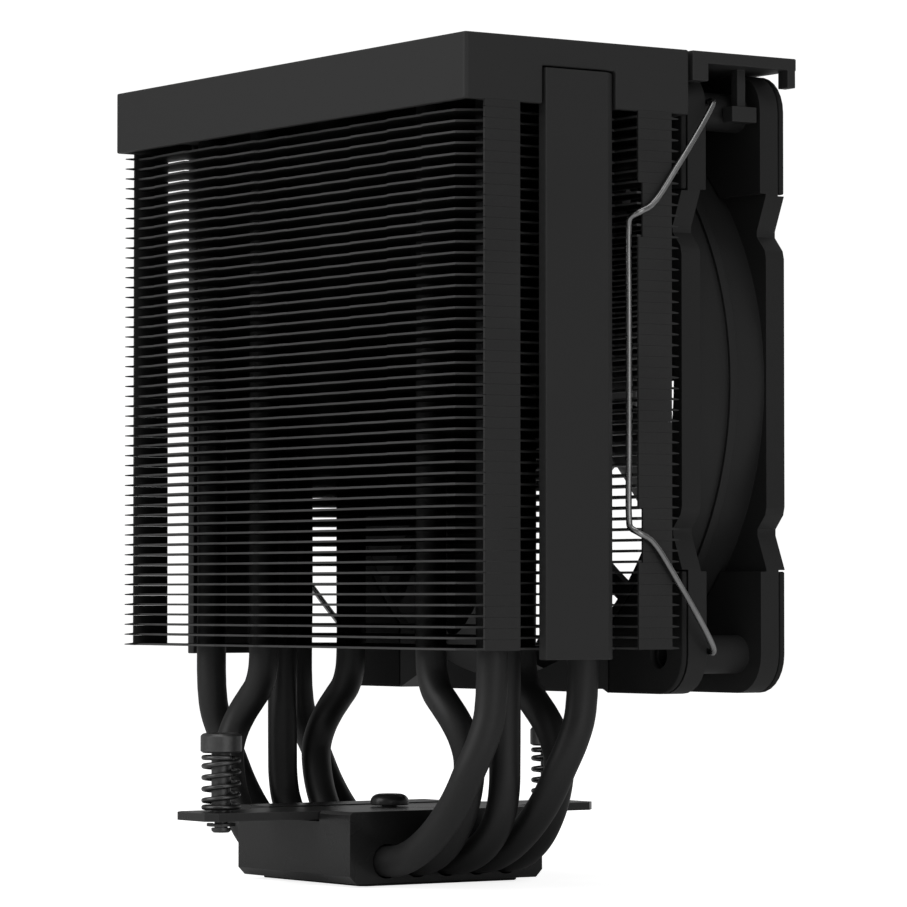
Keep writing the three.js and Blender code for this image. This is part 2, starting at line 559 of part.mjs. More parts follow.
// Roof, four short legs and two pegs with wide feet.
const fanCover = () => {
  const { bottom, rear, front, clip, legBottom, legInner, overlap } = FAN_COVER;
  const { halfX, top } = TOP;
  const joint = bottom + overlap;
  const roof = prismZ([[-halfX + clip, front], [halfX - clip, front], [halfX, front + clip],
    [halfX, rear], [-halfX, rear], [-halfX, front + clip]], bottom, top);
  const fittings = [-1, 1].flatMap((side) => [
    box(...rangeOnSide(side, legInner, halfX), rear - 3.8, rear, legBottom, joint),
    box(...rangeOnSide(side, legInner, halfX), front + 0.5, front + 2.4, legBottom, joint),
    box(...rangeOnSide(side, 57.2, 59.2), -43, -41, 149.6, joint),
    box(...rangeOnSide(side, 56.7, 59.8), -45.3, -39.3, 147, 150),
  ]);
  return join([roof, ...fittings]);
};
// Bent wire: hook, arm, upright, arm, hook.
const wireClip = (side) => {
  const { radius, middleZ, upper } = WIRE;
  const lower = upper.map(([x, y, z]) => [x, y, 2 * middleZ - z]).reverse();
  return tube(onSide(side, [...upper, ...lower]), radius, 6);
};

add(fan, 'fan_cable', tube(CABLE.map(([x, y, z]) => [x, y, z + FAN.axisZ]), 0.9, 8), plastic);
add(fan, 'fan_connector', fanConnector(), plastic);
add(fan, 'fan_cover', fanCover(), cover);
add(fan, 'wire_clip_left', wireClip(-1), steel);
add(fan, 'wire_clip_right', wireClip(1), steel);

export default cooler;
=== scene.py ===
"""Tower cooler: a base with five heat pipes, a stack of fins, and a 120 mm fan held by wire clips.

Z is up, -X is left and +X right. The fan faces -Y, the front, so the rear is +Y.
Piece sizes are in millimetres. The floor, lights, camera and shader scales are in metres.
"""
import json
import math
import bpy
import bmesh
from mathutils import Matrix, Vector
from mathutils.geometry import tessellate_polygon


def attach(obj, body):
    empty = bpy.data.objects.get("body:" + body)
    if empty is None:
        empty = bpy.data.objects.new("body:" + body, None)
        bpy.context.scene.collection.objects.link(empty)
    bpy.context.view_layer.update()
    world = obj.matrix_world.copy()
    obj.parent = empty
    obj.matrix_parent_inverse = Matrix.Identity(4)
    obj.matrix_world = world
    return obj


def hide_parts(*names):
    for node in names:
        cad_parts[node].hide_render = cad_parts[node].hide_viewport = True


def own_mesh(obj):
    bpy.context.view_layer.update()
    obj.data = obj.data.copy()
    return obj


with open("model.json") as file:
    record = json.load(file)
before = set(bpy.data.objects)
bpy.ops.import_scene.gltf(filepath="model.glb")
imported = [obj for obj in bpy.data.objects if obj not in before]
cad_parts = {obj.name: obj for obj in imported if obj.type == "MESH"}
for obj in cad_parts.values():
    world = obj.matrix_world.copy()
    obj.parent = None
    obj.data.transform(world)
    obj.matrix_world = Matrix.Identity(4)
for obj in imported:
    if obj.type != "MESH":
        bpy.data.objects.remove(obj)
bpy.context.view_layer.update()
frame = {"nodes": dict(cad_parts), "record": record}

MM = 0.001
FAN_Z = 96.9  # height of the fan's axis, which runs along Y
WHITE = (1, 1, 1, 1)
scene = bpy.context.scene
nodes = frame["nodes"]


# ------------------------------------------------------------------ materials
def add_node(tree, kind, inputs=None, **settings):
    """New shader node; each input is given a value, or a socket to link from."""
    made = tree.nodes.new(kind)
    for key, value in settings.items():
        setattr(made, key, value)
    for key, value in (inputs or {}).items():
        if isinstance(value, bpy.types.NodeSocket):
            tree.links.new(value, made.inputs[key])
        else:
            made.inputs[key].default_value = value
    return made


def empty_tree(owner):
    owner.use_nodes = True
    owner.node_tree.nodes.clear()
    return owner.node_tree


def surface(name, color, rough, grain, metal=0.0, blotch=(55, 0.12), spec=0.4,
            brushed=None, edge=0.0, lines=None):
    """Blotchy colour, uneven roughness and fine relief, all in object space.

    grain: noise scale, bump strength      blotch: noise scale, colour variation
    brushed: stretch of the grain per axis      edge: lightening along sharp edges
    lines: direction, scale and height of raised bands
    """
    rough_spread = 0.08
    fine_share = 0.6  # the fine grain's part of the colour variation
    mat = bpy.data.materials.new(name)
    tree = empty_tree(mat)

    def math_node(operation, first, second):
        return add_node(tree, "ShaderNodeMath", {0: first, 1: second},
                        operation=operation).outputs[0]

    def spread(value, low, high):
        """Stretch the middle half of a noise over low to high."""
        return add_node(tree, "ShaderNodeMapRange", {
            "From Min": 0.25, "From Max": 0.75, "To Min": low, "To Max": high,
            "Value": value}).outputs["Result"]

    def noise(scale, detail, vector):
        return add_node(tree, "ShaderNodeTexNoise", {
            "Scale": scale, "Detail": detail, "Vector": vector}).outputs["Fac"]

    place_in = add_node(tree, "ShaderNodeTexCoord").outputs["Object"]
    grain_in = place_in
    if brushed:
        grain_in = add_node(tree, "ShaderNodeMapping",
                            {"Scale": brushed, "Vector": place_in}).outputs[0]
    big = noise(scale=blotch[0], detail=4.0, vector=place_in)
    fine = noise(scale=grain[0], detail=2.0, vector=grain_in)

    vary = blotch[1]
    value = math_node("MULTIPLY", spread(big, 1 - vary, 1 + vary),
                      spread(fine, 1 - vary * fine_share, 1 + vary * fine_share))
    # lighter along sharp edges, where the bevel normal turns away from the face normal
    if edge:
        bevel = add_node(tree, "ShaderNodeBevel", {"Radius": 0.0005}, samples=4)
        geometry = add_node(tree, "ShaderNodeNewGeometry")
        facing = add_node(tree, "ShaderNodeVectorMath",
                          {0: bevel.outputs[0], 1: geometry.outputs["Normal"]},
                          operation="DOT_PRODUCT")
        edge_lift = math_node("SUBTRACT", 1.0, facing.outputs["Value"])
        value = math_node("ADD", value, math_node("MULTIPLY", edge_lift, edge))
    tint = add_node(tree, "ShaderNodeVectorMath", {0: color, "Scale": value}, operation="SCALE")
    roughness = spread(big, rough - rough_spread, rough + rough_spread)

    height = fine
    if lines:
        direction, scale, raised = lines
        wave = add_node(tree, "ShaderNodeTexWave",
                        {"Scale": scale, "Distortion": 0.3, "Vector": place_in},
                        bands_direction=direction)
        height = math_node("ADD", height, math_node("MULTIPLY", wave.outputs["Fac"], raised))
    bump = add_node(tree, "ShaderNodeBump",
                    {"Strength": grain[1], "Distance": 0.0001, "Height": height})
    shader = add_node(tree, "ShaderNodeBsdfPrincipled", {
        "Metallic": metal, "Specular IOR Level": spec, "Base Color": tint.outputs[0],
        "Roughness": roughness, "Normal": bump.outputs[0]})
    add_node(tree, "ShaderNodeOutputMaterial", {0: shader.outputs[0]})
    return mat


def grey(value, warm=0.0):
    return (value * (1 + warm), value, value * (1 - warm))


FINISHES = {
    "fin": surface("fin_coat", grey(0.030), rough=0.50, metal=0.25,
                   grain=(2200, 0.10), blotch=(70, 0.14)),
    # painted highlight: a lighter copy of the fin coat for the fins' lit outer edges
    "fin_highlight_rim": surface("fin_rim_painted_highlight", grey(0.075), rough=0.45, metal=0.35,
                        grain=(2200, 0.10), blotch=(70, 0.14), spec=0.5),
    "strip": surface("strip_coat", grey(0.030), rough=0.52, metal=0.2,
                     grain=(2400, 0.10), blotch=(60, 0.12)),
    "pipe": surface("pipe_coat", grey(0.019), rough=0.50, metal=0.2,
                    grain=(1800, 0.10), blotch=(40, 0.15), spec=0.5),
    "block": surface("base_coat", grey(0.021), rough=0.27, metal=0.2,
                     grain=(1500, 0.16), blotch=(45, 0.15), spec=0.45, edge=1.5),
    "copper": surface("contact_face", (0.13, 0.07, 0.045), rough=0.5, metal=1.0,
                      grain=(900, 0.25), blotch=(30, 0.10), brushed=(1, 14, 1)),
    "bar": surface("bar_coat", grey(0.034), rough=0.26, metal=0.25,
                   grain=(1700, 0.12), blotch=(40, 0.15), spec=0.45, edge=1.5),
    "cap": surface("cap_coat", grey(0.030), rough=0.55, metal=0.05,
                   grain=(3200, 0.10), blotch=(22, 0.06), spec=0.35, edge=1.2),
    "spine": surface("spine_coat", grey(0.030), rough=0.52, metal=0.1,
                     grain=(3000, 0.10), blotch=(25, 0.07), spec=0.35, edge=1.2),
    "fan": surface("fan_plastic", grey(0.018), rough=0.55,
                   grain=(2100, 0.16), blotch=(35, 0.10), spec=0.35),
    "blade": surface("blade_plastic", grey(0.022), rough=0.38,
                     grain=(1500, 0.06), blotch=(30, 0.10), spec=0.45),
    "pad": surface("pad_rubber", grey(0.020), rough=0.80,
                   grain=(1600, 0.30), blotch=(40, 0.16), spec=0.25),
    "label": surface("label_film", grey(0.05), rough=0.35,
                     grain=(800, 0.05), blotch=(60, 0.08)),
    "board": surface("circuit_board", (0.02, 0.10, 0.05), rough=0.45,
                     grain=(900, 0.25), blotch=(420, 0.5), spec=0.5),
    "core": surface("laminations", grey(0.42), rough=0.38, metal=1.0,
                    grain=(900, 0.15), lines=("Y", 1600, 1.4)),
    "winding": surface("enamelled_wire", (0.45, 0.16, 0.06), rough=0.30, metal=0.9,
                       grain=(700, 0.5), lines=("Y", 900, 2.0)),
    "bronze": surface("sintered_bronze", (0.36, 0.23, 0.10), rough=0.45, metal=1.0,
                      grain=(1800, 0.35), blotch=(300, 0.2)),
    "magnet": surface("bonded_ferrite", grey(0.045, warm=0.06), rough=0.75, metal=0.1,
                      grain=(1400, 0.35), blotch=(120, 0.2)),
    "shaft": surface("ground_steel", grey(0.55), rough=0.22, metal=1.0,
                     grain=(1200, 0.10), brushed=(1, 0.05, 1)),
    "screw": surface("dark_plating", grey(0.10), rough=0.34, metal=0.75,
                     grain=(1500, 0.14), blotch=(150, 0.18), spec=0.5, edge=1.0),
    "spring": surface("spring_steel", grey(0.11), rough=0.30, metal=0.9,
                      grain=(1400, 0.10), blotch=(160, 0.2), spec=0.5),
    "wire": surface("bright_wire", grey(0.34), rough=0.26, metal=1.0,
                    grain=(1500, 0.08), blotch=(120, 0.15)),
    "cable": surface("cable_sleeve", grey(0.018), rough=0.60,
                     grain=(1100, 0.35), blotch=(200, 0.15), lines=("Z", 700, 1.0)),
}
NODE_FINISH = {
    "cold_plate": "copper", "base_block": "block", "mounting_bar": "bar", "centre_screw": "bar",
    "fin_stack": "fin", "top_plate": "fin", "top_cover": "cap", "spine_left": "spine",
    "spine_right": "spine", "fan_frame": "fan", "fan_label": "label", "motor_board": "board",
    "stator_core": "core", "bearing_bush": "bronze", "rotor": "blade", "magnet_ring": "magnet",
    "rotor_shaft": "shaft", "shaft_clip": "screw", "fan_cable": "cable", "fan_connector": "fan",
    "fan_cover": "cap", "wire_clip_left": "wire", "wire_clip_right": "wire",
}
# pieces that come in numbered sets, by the start of their names
SET_FINISH = {
    "heat_pipe": "pipe", "side_strip": "strip", "stator_coil": "winding", "fan_pad": "pad",
    "spring_screw": "screw", "screw_spring": "spring", "screw_clip": "screw",
}


def finish_of(node):
    for stem, finish in SET_FINISH.items():
        if node.startswith(stem):
            return FINISHES[finish]
    return FINISHES[NODE_FINISH[node]]


for node, piece in nodes.items():
    piece.data.materials.clear()
    piece.data.materials.append(finish_of(node))
BODY = {node: body for body, members in frame["record"]["behaviour"]["bodies"].items()
        for node in members}


# ------------------------------------------------------------------ mesh tools
def new_object(name, mesh):
    obj = bpy.data.objects.new(name, mesh)
    scene.collection.objects.link(obj)
    return obj


def mesh_mm(name, verts, faces):
    mesh = bpy.data.meshes.new(name)
    mesh.from_pydata([(x * MM, y * MM, z * MM) for x, y, z in verts], [], faces)
    mesh.validate()
    mesh.update()
    return new_object(name, mesh)


def outward(obj):
    """Turn all faces outward."""
    bm = bmesh.new()
    bm.from_mesh(obj.data)
    bmesh.ops.recalc_face_normals(bm, faces=bm.faces)
    bm.to_mesh(obj.data)
    bm.free()
    return obj


def place(axis, a, b, c):
    """(a, b) lie in the outline's plane, c along its axis."""
    return {"X": (c, a, b), "Y": (a, c, b), "Z": (a, b, c)}[axis]


def circle(a, b, radius, sides):
    angles = [i / sides * math.tau for i in range(sides)]
    return [(a + radius * math.cos(t), b + radius * math.sin(t)) for t in angles]


def prism_faces(count, base=0):
    """Ends and sides of a prism whose two outlines follow each other from vertex `base`."""
    faces = [tuple(base + i for i in range(count)), tuple(base + count + i for i in range(count))]
    for i in range(count):
        j = (i + 1) % count
        faces.append((base + i, base + j, base + count + j, base + count + i))
    return faces


def prism(name, points, low, high, axis="Z"):
    verts = [place(axis, a, b, c) for c in (low, high) for a, b in points]
    return outward(mesh_mm(name, verts, prism_faces(len(points))))


def loft(name, rings):
    """Closed skin over successive rings of equally many points."""
    count = len(rings[0])
    verts = [point for ring in rings for point in ring]
    faces = []
    for k in range(len(rings) - 1):
        here, after = k * count, (k + 1) * count
        for i in range(count):
            j = (i + 1) % count
            faces.append((here + i, here + j, after + j, after + i))
    faces.append(tuple(range(count)))
    faces.append(tuple((len(rings) - 1) * count + i for i in range(count)))
    return outward(mesh_mm(name, verts, faces))


def lathe(name, profile, sides, axis="Z", centre=(0, 0, 0)):
    """Turned piece from a (radius, height) profile that starts and ends on the axis."""
    verts, rows = [], []
    for radius, height in profile:
        start = len(verts)
        if radius == 0:
            rows.append([start] * sides)
            verts.append(place(axis, 0, 0, height))
        else:
            rows.append(list(range(start, start + sides)))
            verts += [place(axis, a, b, height) for a, b in circle(0, 0, radius, sides)]
    faces = []
    for here, after in zip(rows, rows[1:]):
        for k in range(sides):
            j = (k + 1) % sides
            # a row on the axis repeats its one vertex, which leaves a triangle
            faces.append(tuple(dict.fromkeys((here[k], here[j], after[j], after[k]))))
    cx, cy, cz = centre
    return outward(mesh_mm(name, [(x + cx, y + cy, z + cz) for x, y, z in verts], faces))


def catmull(points, steps):
    """Smooth centripetal path through the points, `steps` per span."""
    known = [Vector(p) for p in points]
    padded = [known[0] * 2 - known[1]] + known + [known[-1] * 2 - known[-2]]

    def knot_gap(p, q):
        return max((q - p).length, 1e-6) ** 0.5

    path = []
    for i in range(1, len(padded) - 2):
        p0, p1, p2, p3 = padded[i - 1:i + 3]
        t0 = 0.0
        t1 = t0 + knot_gap(p0, p1)
        t2 = t1 + knot_gap(p1, p2)
        t3 = t2 + knot_gap(p2, p3)
        for k in range(steps):
            t = t1 + (t2 - t1) * k / steps

            def between(p, q, start, end):
                return p * ((end - t) / (end - start)) + q * ((t - start) / (end - start))

            a1 = between(p0, p1, t0, t1)
            a2 = between(p1, p2, t1, t2)
            a3 = between(p2, p3, t2, t3)
            b1 = between(a1, a2, t0, t2)
            b2 = between(a2, a3, t1, t3)
            path.append(between(b1, b2, t1, t2))
    path.append(known[-1])
    return path


def sweep(name, path, radius, sides, round_ends=0.35):
    """Round rod along a path, its rings carried without twist and its ends rounded."""
    path = [Vector(p) for p in path]
    last = len(path) - 1
    tangents = [(path[min(i + 1, last)] - path[max(i - 1, 0)]).normalized()
                for i in range(last + 1)]
    aside = Vector((0, 0, 1)) if abs(tangents[0].z) < 0.9 else Vector((0, 1, 0))
    normal = tangents[0].cross(aside).normalized()
    inset = radius * round_ends
    # distance in from the rod's end, and how much thinner the rod is there
    rounding = [(0.0, inset), (inset * 0.3, inset * 0.3), (inset, 0.0)]
    rings = []
    for i, (point, tangent) in enumerate(zip(path, tangents)):
        normal = (normal - tangent * normal.dot(tangent)).normalized()
        across = tangent.cross(normal).normalized()
        stations = [(0.0, 0.0)]
        if i == 0:
            stations = rounding
        elif i == last:
            stations = [(-shift, thinner) for shift, thinner in reversed(rounding)]
        for shift, thinner in stations:
            centre = point + tangent * shift
            rings.append([centre + (normal * a + across * b) * (radius - thinner)
                          for a, b in circle(0, 0, 1, sides)])
    return smooth(loft(name, rings), 50)


def merge(name, objs):
    """One object from several, islands kept apart."""
    verts, faces = [], []
    mesh = bpy.data.meshes.new(name)
    for obj in objs:
        base = len(verts)
        verts += [tuple(v.co) for v in obj.data.vertices]
        faces += [tuple(base + i for i in p.vertices) for p in obj.data.polygons]
        bpy.data.objects.remove(obj)
    mesh.from_pydata(verts, [], faces)
    mesh.update()
    return new_object(name, mesh)


def carve(target, tool, operation="DIFFERENCE"):
    """Apply a boolean with the tool, which is used up."""
    cut = target.modifiers.new("carve", "BOOLEAN")
    cut.solver = "EXACT"
    cut.use_self = True
    cut.operation = operation
    cut.object = tool
    depsgraph = bpy.context.evaluated_depsgraph_get()
    mesh = bpy.data.meshes.new_from_object(target.evaluated_get(depsgraph))
    target.modifiers.clear()
    target.data = mesh
    bpy.data.objects.remove(tool)


def clean(obj, angle=1.0):
    """Weld doubled vertices and dissolve edges flatter than `angle` degrees."""
    bm = bmesh.new()
    bm.from_mesh(obj.data)
    bmesh.ops.remove_doubles(bm, verts=bm.verts, dist=2e-6)
    bmesh.ops.dissolve_limit(bm, angle_limit=math.radians(angle), verts=bm.verts, edges=bm.edges)
    bmesh.ops.recalc_face_normals(bm, faces=bm.faces)
    bm.to_mesh(obj.data)
    bm.free()


def shade_smooth(obj):
    obj.data.polygons.foreach_set("use_smooth", [True] * len(obj.data.polygons))


def soften(obj, width, segments=2, angle=32):
    """Bevel where faces turn sharply, then weight the normals by area."""
    shade_smooth(obj)
    bevel = obj.modifiers.new("bevel", "BEVEL")
    bevel.width = width * MM
    bevel.segments = segments
    bevel.limit_method = "ANGLE"
    bevel.angle_limit = math.radians(angle)
    bevel.use_clamp_overlap = True
    normals = obj.modifiers.new("normals", "WEIGHTED_NORMAL")
    normals.keep_sharp = True
    normals.weight = 90
    return obj


def smooth(obj, angle):
    """Shade smooth, with edges sharper than `angle` degrees kept."""
    shade_smooth(obj)
    obj.data.set_sharp_from_angle(angle=math.radians(angle))
    return obj


def dress(obj, body, node):
    """Give the object the finish, slot and body of the CAD piece it replaces."""
    obj.data.materials.clear()
    obj.data.materials.append(finish_of(node))
    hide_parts(node)
    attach(obj, body)
    return obj


def refine(node, width, segments=2):
    """The CAD piece's own shape with rounded edges."""
    obj = new_object(node + "_skin", nodes[node].data.copy())
    clean(obj)
    soften(obj, width, segments)
    return dress(obj, BODY[node], node)


# ------------------------------------------------------------------ heat pipes
PIPE_R = 3.0
PIPE_TOP = 153.0
BASE_Z = 4.8  # pipe centres inside the base
# bend from leg to base, (distance from the middle, z), keyed by the leg's distance
BENDS = {
    50: [(50, 34), (49.6, 28.5), (47.6, 23), (44.2, 17.9), (40, 13.6), (35.2, 9.9), (30, 7.0),
         (25, 5.3), (20.6, BASE_Z)],
    39.5: [(39.5, 24), (39.3, 19), (38.2, 14.6), (35.4, 10.4), (31.2, 7.2), (26, 5.3),
           (20.4, BASE_Z)],
    30: [(30, 44), (30.5, 40.5), (32, 37.5), (34.6, 35), (37, 32.2), (38.5, 28.8), (38.6, 24.8),
         (37.2, 19.8), (35.2, 14.6), (31.4, 9.6), (26.6, 6.3), (20.6, BASE_Z)],
}
# left leg, right leg, y in the fins, y in the base
PIPES = [(50, 30, 10.5, 14), (30, 50, 10.5, 7), (39.5, 39.5, 0, 0),
         (50, 30, -10.5, -7), (30, 50, -10.5, -14)]


def half_pipe(leg, y, lane):
    """From the top down to the base, easing from y over to the lane between z 37 and 20."""
    points = [(leg, y, PIPE_TOP), (leg, y, 60.0)]
    for x, z in BENDS[leg]:
        t = min(max((37 - z) / 17, 0), 1)
        points.append((x, y + (lane - y) * (t * t * (3 - 2 * t)), z))
    return points


def build_pipes():
    for number, (left, right, y, lane) in enumerate(PIPES, 1):
        points = [(-a, b, c) for a, b, c in half_pipe(left, y, lane)]
        points += [(0, lane, BASE_Z)] + half_pipe(right, y, lane)[::-1]
        pipe = sweep(f"pipe_{number}", catmull(points, 6), PIPE_R, sides=28)
        dress(pipe, "cooler", f"heat_pipe_{number}")


# ------------------------------------------------------------------ base and screws
SCREW_Y = 39.0
# turned profiles, (radius, z)
BAR_SCREW = [(0, 9.2), (1.2, 9.2), (1.5, 9.5), (1.5, 14.5), (3.6, 14.5), (3.8, 14.7), (3.8, 15.3),
             (3.65, 15.8), (3.3, 16.25), (2.8, 16.55), (2.3, 16.7), (1.5, 16.7), (1.35, 16.55),
             (1.3, 15.4), (0, 15.4)]
SCREW_BODY = [(0, 10.2), (1.5, 10.2), (1.9, 10.6), (1.9, 11.1), (1.3, 11.1), (1.3, 12.3),
              (1.9, 12.3), (1.9, 25.6), (0, 25.6)]
SCREW_CAP = [(3.5, 25.5), (4.0, 25.85), (4.0, 28.75), (3.65, 29.15), (3.25, 29.3)]
CROSS_HALF, CROSS_REACH = 0.55, 2.2  # half the slot's width, half its length
COIL_R, COIL_TURNS, COIL_STEPS = 3.35, 5.5, 330
COIL_Z, COIL_RISE = 15.02, 9.66


def build_base():
    plate = refine("cold_plate", width=0.2)
    # only the underside shows bare metal
    plate.data.materials.append(FINISHES["block"])
    for face in plate.data.polygons:
        if face.normal.z > -0.6:
            face.material_index = 1
    refine("base_block", width=0.35, segments=3)
    refine("mounting_bar", width=0.22)
    dress(smooth(lathe("bar_screw", BAR_SCREW, 48), 30), "cooler", "centre_screw")


def build_spring_screw(number, cy):
    """Turned body and a round cap with a cross recess."""
    body = lathe(f"screw_body_{number}", SCREW_BODY, 40, "Z", (0, cy, 0))
    rings = [[(x, y, z) for x, y in circle(0, cy, radius, 160)] for radius, z in SCREW_CAP]
    cap = loft(f"screw_cap_{number}", rings)
    half, reach = CROSS_HALF, CROSS_REACH
    cross = [(-half, -reach), (half, -reach), (half, -half), (reach, -half), (reach, half),
             (half, half), (half, reach), (-half, reach), (-half, half), (-reach, half),
             (-reach, -half), (-half, -half)]
    carve(cap, prism("cross", [(x, cy + y) for x, y in cross], 27.4, 30))
    for part in (body, cap):
        dress(smooth(part, 30), f"screw_{number}", f"spring_screw_{number}")


def build_coil(number, cy):
    """Spring round the screw, with closed, flattened end turns."""
    points = []
    for k in range(COIL_STEPS + 1):
        t = k / COIL_STEPS
        angle = t * COIL_TURNS * math.tau
        climb = min(max((t - 0.11) / 0.78, 0), 1)
        points.append((COIL_R * math.cos(angle), cy + COIL_R * math.sin(angle),
                       COIL_Z + COIL_RISE * (0.1 * t + 0.9 * climb)))
    coil = sweep(f"coil_{number}", points, 0.5, sides=12, round_ends=0.2)
    dress(coil, "cooler", f"screw_spring_{number}")
    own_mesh(coil)


def build_retaining_ring(number, cy):
    """Flat ring with a 60 degree gap toward +X."""
    outer, inner, steps = 2.8, 1.65, 40
    arc = [math.radians(30 + 300 * k / steps) for k in range(steps + 1)]
    points = [(outer * math.cos(t), cy + outer * math.sin(t)) for t in arc]
    points += [(inner * math.cos(t), cy + inner * math.sin(t)) for t in reversed(arc)]
    ring = prism(f"ring_{number}_skin", points, 11.4, 12.0)
    dress(soften(ring, 0.08), f"ring_{number}", f"screw_clip_{number}")


# ------------------------------------------------------------------ fins
FIN_Z, FIN_PITCH, FIN_T, FIN_COUNT = 45.6, 2.047, 0.4, 50
FIN_LEVELS = [FIN_Z + k * FIN_PITCH for k in range(FIN_COUNT)]
FIN_SKEW = 0.45  # how much further out the front edge lies than the rear edge
# (x, y); the rear edge runs out from the middle, the left corner is given mirrored to +X
REAR_EDGE = [(0, 20.4), (6, 20.2), (6.6, 20.6), (16.6, 20.2), (17.4, 20.9), (30.2, 20.7),
             (31.2, 21.5), (42.4, 21.0), (43.2, 21.7)]
LEFT_CORNER = [(53.5, 21.1), (56.4, 16.8), (56.4, 16.2), (63.1, 16.2), (63.1, 13.4), (56.0, 13.4)]
RIGHT_CORNER = [(56.4, 20.7), (57.0, 20.2), (63.1, 20.6), (63.1, 13.4), (56.0, 13.4)]
FOLD_X = (63.0, 63.5)
# side along x, side along y, whether the tabs carry pointed ears
FOLDS = [(-1, 1, False), (-1, -1, True), (1, 1, True), (1, -1, False)]
NOTCHES = [(63.5, 70.5), (124.8, 131.8)]  # z ranges where the front folds are cut back


def mirrored(points):
    return [(-x, y) for x, y in reversed(points)]


def fin_outline():
    """Rear half from -X to +X, then the same half turned round for the front."""
    rear = mirrored(LEFT_CORNER) + mirrored(REAR_EDGE[1:]) + REAR_EDGE + RIGHT_CORNER
    return rear + [(-x, -y - FIN_SKEW) for x, y in rear]


def build_fins():
    """All fins in one mesh, with the pipe holes cut through and a painted highlight on the outer
    edges.
    """
    loops = [fin_outline()]
    for left, right, y, _ in PIPES:
        loops += [circle(x, y, PIPE_R + 0.06, 22) for x in (right, -left)]
    flat = [point for loop in loops for point in loop]
    triangles = tessellate_polygon([[Vector((x, y, 0)) for x, y in loop] for loop in loops])
    count = len(flat)
    verts, faces, highlight_rim_faces = [], [], []
    for z in FIN_LEVELS:
        base = len(verts)
        verts += [(x, y, z) for x, y in flat] + [(x, y, z + FIN_T) for x, y in flat]
        for triangle in triangles:
            faces.append(tuple(base + i for i in triangle))
            faces.append(tuple(base + count + i for i in reversed(triangle)))
        start = base
        for loop in loops:
            if loop is loops[0]:
                highlight_rim_faces += range(len(faces), len(faces) + len(loop))
            for i in range(len(loop)):
                here, after = start + i, start + (i + 1) % len(loop)
                faces.append((here, after, count + after, count + here))
            start += len(loop)
    fins = dress(outward(mesh_mm("fins", verts, faces)), "cooler", "fin_stack")
    # the outer edge faces take the lighter coat, a painted highlight
    fins.data.materials.append(FINISHES["fin_highlight_rim"])
    # face numbers only hold if mesh validation dropped no face
    if len(fins.data.polygons) == len(faces):
        for i in highlight_rim_faces:
            fins.data.polygons[i].material_index = 1


def build_fold(number, side_x, side_y, eared):
    """Folded side edge: one tab per fin."""
    y_in, y_out = (13.4, 21.4) if side_y > 0 else (13.9, 21.8)
    ear = 23.4
    verts, faces = [], []
    for k, z in enumerate(FIN_LEVELS):
        height = 2.02 if k < FIN_COUNT - 1 else 1.4
        notched = side_y < 0 and any(z + height > low and z < high for low, high in NOTCHES)
        inner = y_in + 1.0 if notched else y_in
        if eared:
            profile = [(inner, 0), (y_out, 0), (ear, 0.1), (ear, 0.3), (y_out, 0.5),
                       (y_out, height), (inner, height)]
        else:
            profile = [(inner, 0), (y_out - 0.4, 0), (y_out, 0.1), (y_out, height),
                       (inner, height)]
        faces += prism_faces(len(profile), base=len(verts))
        verts += [(side_x * x, side_y * y, z + rise) for x in FOLD_X for y, rise in profile]
    dress(outward(mesh_mm(f"fold_{number}", verts, faces)), "cooler", f"side_strip_{number}")


# ------------------------------------------------------------------ fan frame
FAN_HALF = 60.0
FAN_REAR, FAN_FRONT = -26.8, -51.8
CORNER_R = 7.5
CORNER_IN = 36.5  # each corner plate starts this far from the axis
HOLE_OFF = FAN_HALF - CORNER_R  # screw holes share the corners' centres
FLANGE_T = 4.5
QUADRANTS = [(1, 1), (-1, 1), (-1, -1), (1, -1)]
LEAD_Y = -29.1
# (radius, y)
MOTOR_BASE = [(0, -27.8), (19.1, -27.8), (19.5, -28.2), (19.5, -29.6), (19.3, -29.8),
              (4.6, -29.8), (4.6, -42.2), (4.4, -42.5), (3.3, -42.5), (3.3, -28.9), (0, -28.9)]
# strut section, (offset across the strut, y)
STRUT = [(-2.0, -27.6), (-1.6, -27.2), (1.6, -27.2), (2.0, -27.6),
         (1.4, -30.0), (0.9, -30.3), (-0.9, -30.3), (-1.4, -30.0)]
STRUT_START, STRUT_END, STRUT_BOW, STRUT_STEPS = 18.2, 58.4, 3.2, 10


def corner_arc(edge):
    """Rounded corner of a square that reaches out to `edge`."""
    steps, mid = 7, edge - CORNER_R
    angles = [math.pi / 2 * k / steps for k in range(steps + 1)]
    return [(mid + CORNER_R * math.cos(t), mid + CORNER_R * math.sin(t)) for t in angles]


def fan_outline():
    """Square with rounded corners and two shallow dips on each side, as (x, z)."""
    half = FAN_HALF
    dip = [(half - 0.4, 25.6), (half - 2.8, 28.3), (half - 2.8, 29.5),
           (half, CORNER_IN - 0.4), (half, CORNER_IN)]
    side = [(half, -24), (half, 24)] + dip + corner_arc(half) + [(b, a) for a, b in reversed(dip)]
    return [(a * c - b * s, a * s + b * c + FAN_Z)
            for c, s in [(1, 0), (0, 1), (-1, 0), (0, -1)] for a, b in side]


def corner_plate(quadrant, inner, radius, edge):
    """Corner outline between a circle about the axis and the square's rounded corner."""
    steps = 10
    limit = math.sqrt(radius * radius - inner * inner)
    start, end = math.atan2(inner, limit), math.atan2(limit, inner)
    angles = [start + (end - start) * i / steps for i in range(steps + 1)]
    arc = [(radius * math.cos(t), radius * math.sin(t)) for t in angles]
    points = [(edge, inner)] + corner_arc(edge) + [(inner, edge)] + arc[::-1]
    return [(a * quadrant[0], b * quadrant[1] + FAN_Z) for a, b in points]


def corner_circle(quadrant, radius, sides):
    return circle(quadrant[0] * HOLE_OFF, quadrant[1] * HOLE_OFF + FAN_Z, radius, sides)


